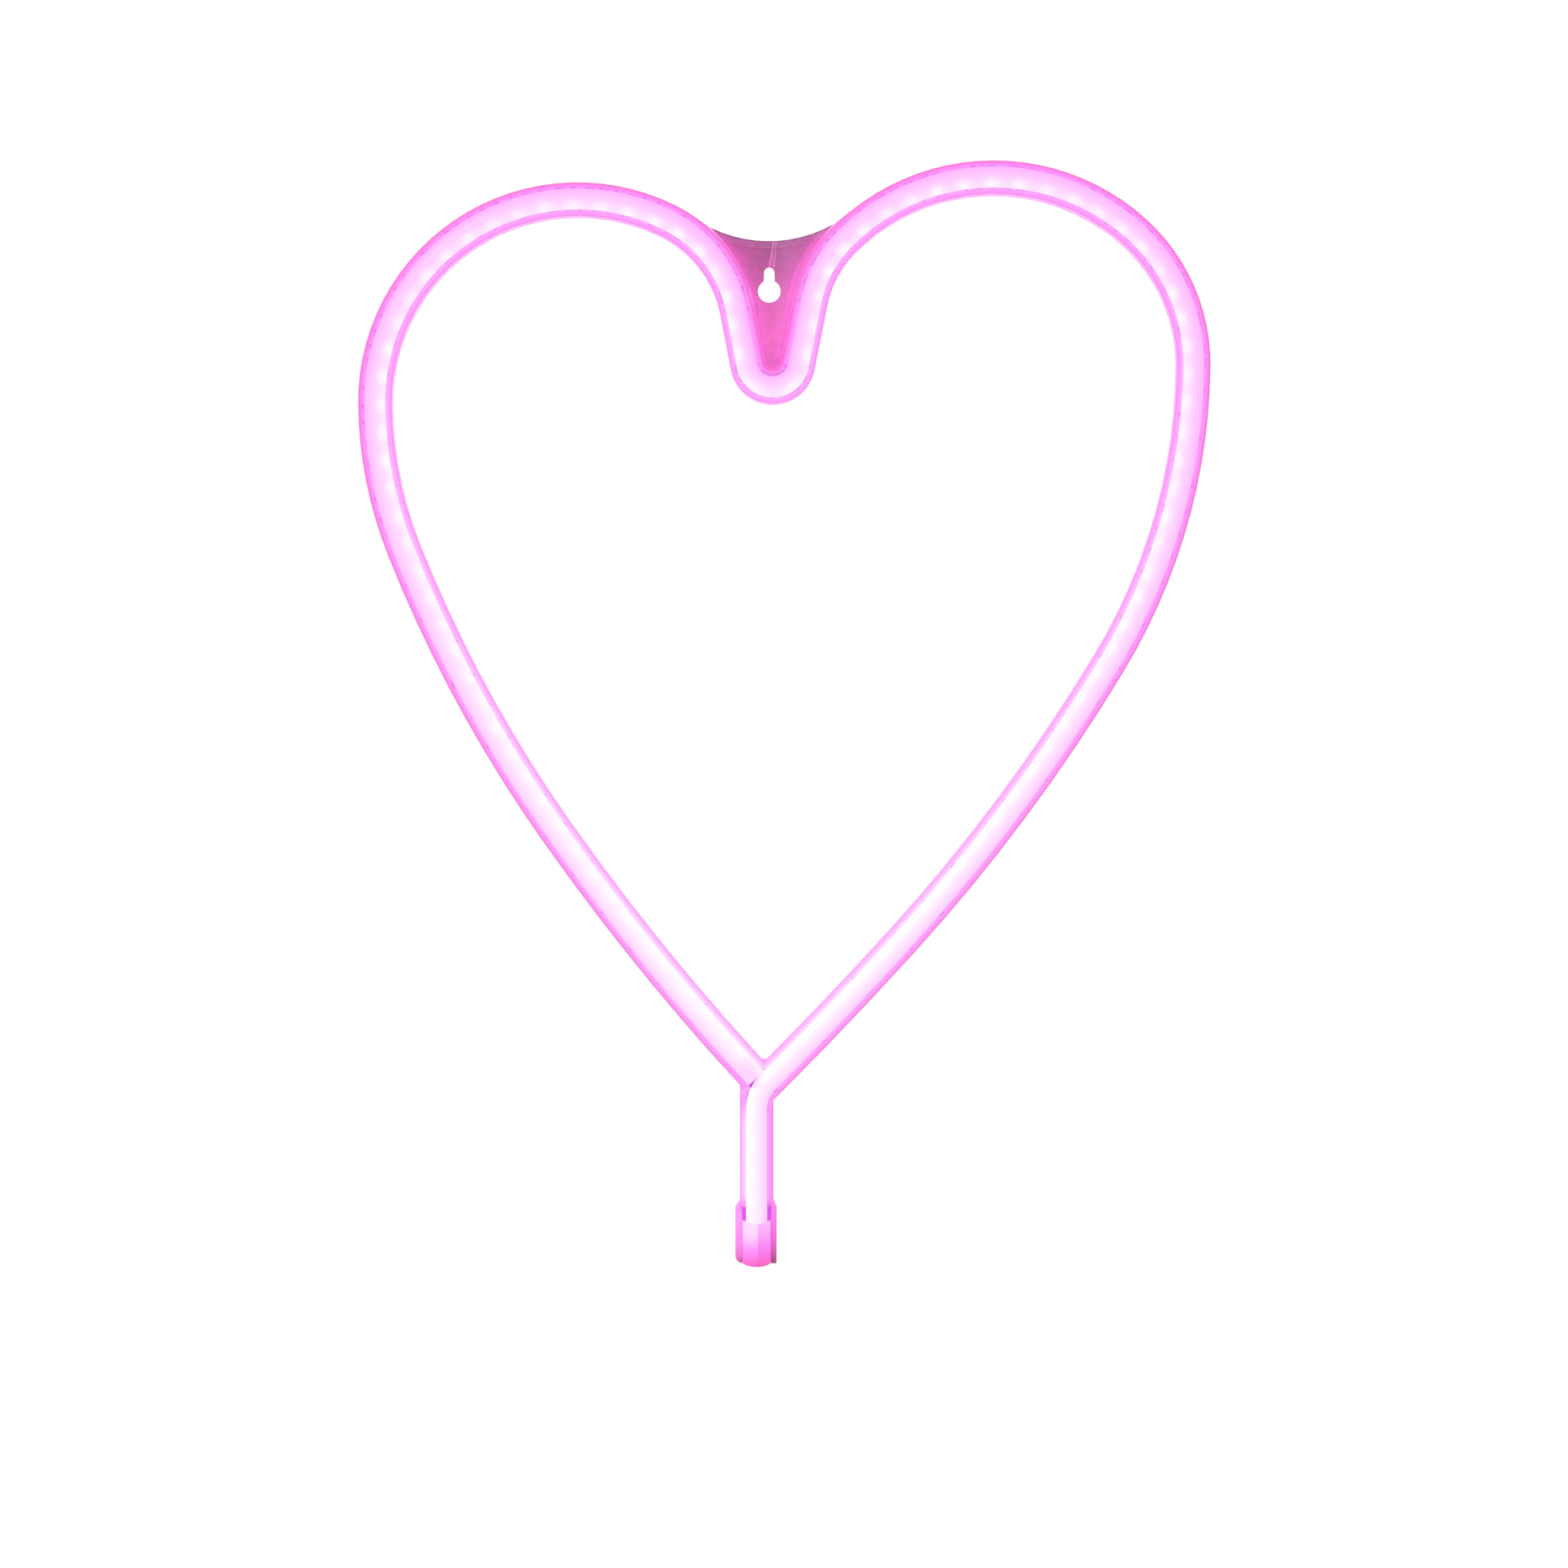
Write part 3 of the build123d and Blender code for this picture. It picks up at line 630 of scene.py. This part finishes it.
def tube_sections():
    """Outlines of the tube and of its hollow, as (outward, depth)."""
    shoulder = TUBE_FRONT - TUBE_CROWN
    radius = (TUBE_HALF ** 2 + TUBE_CROWN ** 2) / (2 * TUBE_CROWN)
    spread = math.asin(TUBE_HALF / radius)
    steps = 20
    angles = [spread * (2 * i / steps - 1) for i in range(steps + 1)]
    crown = [(radius * math.sin(a), TUBE_FRONT - radius * (1 - math.cos(a))) for a in angles]
    wall = [(-TUBE_HALF, TUBE_BASE + (shoulder - TUBE_BASE) * i / 4) for i in range(4)]
    inside, outside, low, high = HOLLOW
    return (wall + crown + [(-outward, depth) for outward, depth in reversed(wall)],
            [(inside, low), (inside, high), (outside, high), (outside, low)])


def sweep(build, pieces, section):
    """Skin of one outline along pieces, with both ends open."""
    previous = None
    for number, piece in enumerate(pieces):
        steps = max(2, math.ceil(piece.length_at(0) / TUBE_STEP))
        for i in range(0 if number == 0 else 1, steps + 1):
            loop = []
            for outward, depth in section:
                x, z = piece.at(i / steps, outward)
                loop.append(build.verts.new((x, -depth, z)))
            if previous:
                for j in range(len(section)):
                    k = (j + 1) % len(section)
                    build.faces.new((previous[j], previous[k], loop[k], loop[j]))
            previous = loop


def make_tube():
    """Silicone tube: one run from the left arm's cut end, through the notch, to the end of the stem."""
    build = bmesh.new()
    is_left = build.verts.layers.float.new("left_half")
    for section in tube_sections():
        sweep(build, left, section)
    shares = np.linspace(0, 1, 200)
    crossing = shares[np.argmin(np.linalg.norm(arm.at(shares) - left[-1].end, axis=1))]
    x, z = arm.at(crossing, -TUBE_HALF - BUTT_GAP)
    into_arm = polar(arm.heading + arm.turn * crossing + 90)
    cut = bmesh.ops.bisect_plane(
        build, geom=build.verts[:] + build.edges[:] + build.faces[:], dist=1e-7, clear_outer=True,
        plane_co=(x, 0, z), plane_no=(into_arm[0], 0, into_arm[1]))
    edges = [e for e in cut["geom_cut"] if isinstance(e, bmesh.types.BMEdge)]
    bmesh.ops.triangle_fill(build, use_beauty=True, edges=edges)
    for vertex in build.verts:
        vertex[is_left] = 1.0
    for section in tube_sections():
        sweep(build, right, section)
    bmesh.ops.remove_doubles(build, verts=build.verts, dist=1e-7)
    bmesh.ops.triangle_fill(build, use_beauty=True, edges=[e for e in build.edges if e.is_boundary])
    bmesh.ops.recalc_face_normals(build, faces=build.faces)
    return new_object("milky_tube", build, tube_silicone(), "diffuser_tube")


def refined(node, name, material, grid):
    """The node's own shape, cut into cells of that size so that its vertices carry the glow's values."""
    build = bmesh.new()
    build.from_mesh(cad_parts[node].data)
    bmesh.ops.remove_doubles(build, verts=build.verts, dist=1e-6)
    low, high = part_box(node)
    for axis in (0, 2):
        normal = [0.0, 0.0, 0.0]
        normal[axis] = 1.0
        for i in range(1, math.ceil((high[axis] - low[axis]) / grid)):
            place = [0.0, 0.0, 0.0]
            place[axis] = low[axis] + i * grid
            bmesh.ops.bisect_plane(build, geom=build.verts[:] + build.edges[:] + build.faces[:], dist=1e-6,
                                   plane_co=place, plane_no=normal)
    piece = new_object(name, build, material, node)
    even = piece.modifiers.new("even_normals", "WEIGHTED_NORMAL")
    even.mode = "FACE_AREA"
    even.keep_sharp = True
    even.weight = 50
    return piece


def dress(node, material):
    """Give a CAD node its finished material."""
    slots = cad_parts[node].data.materials
    slots.clear()
    slots.append(material)


# The object

make_tube()
refined("back_tray", "moulded_tray", tray_plastic(), 2.0 * MM)
refined("power_cap", "moulded_cap", cap_plastic(), 1.5 * MM)
for node, finish in PLAIN.items():
    dress(node, plain(*finish).material)
for node in ("feed_board", "far_board"):
    dress(node, board_film())
dress("led_windows", led_window())


# Floor, light and camera

VIEW_WIDTH = 445.3 * MM        # what the frame takes in at the wall
VIEW_CENTRE = (4.2 * MM, -140.4 * MM)
VIEW_DISTANCE = 3.0
SENSOR = 36.0
FLOOR_HEIGHT = -0.56
FLOOR_REACH = 1.2


def floor():
    build = bmesh.new()
    bmesh.ops.create_grid(build, x_segments=2, y_segments=2, size=FLOOR_REACH)
    mesh = bpy.data.meshes.new("floor")
    build.to_mesh(mesh)
    build.free()
    shader = plain("floor_paint", (243, 243, 244), (247, 247, 248), 60.0, 0.7)
    mesh.materials.append(shader.material)
    plane = bpy.data.objects.new("floor", mesh)
    plane.location = (0, 0, FLOOR_HEIGHT)
    bpy.context.scene.collection.objects.link(plane)


def softbox(name, place, aim, size, power):
    light = bpy.data.lights.new(name, "AREA")
    light.shape, light.size, light.energy = "DISK", size, power
    lamp = bpy.data.objects.new(name, light)
    lamp.location = place
    lamp.rotation_euler = (Vector(aim) - Vector(place)).to_track_quat("-Z", "Y").to_euler()
    bpy.context.scene.collection.objects.link(lamp)


def camera():
    data = bpy.data.cameras.new("camera")
    data.sensor_width = SENSOR
    data.lens = SENSOR * VIEW_DISTANCE / VIEW_WIDTH
    data.clip_end = 20.0
    seen = bpy.data.objects.new("camera", data)
    seen.location = (VIEW_CENTRE[0], -VIEW_DISTANCE - TRAY_DEPTH, VIEW_CENTRE[1])
    seen.rotation_euler = (math.radians(90), 0, 0)
    bpy.context.scene.collection.objects.link(seen)
    bpy.context.scene.camera = seen


floor()
softbox("key", place=(-0.9, -1.6, 0.9), aim=(0, 0, -0.12), size=1.0, power=8.0)
camera()
world = bpy.data.worlds.new("studio")
world.use_nodes = True
world.node_tree.nodes["Background"].inputs["Color"].default_value = (1.0, 1.0, 1.0, 1.0)
world.node_tree.nodes["Background"].inputs["Strength"].default_value = 1.0
bpy.context.scene.world = world
bpy.context.scene.view_settings.view_transform = "Standard"
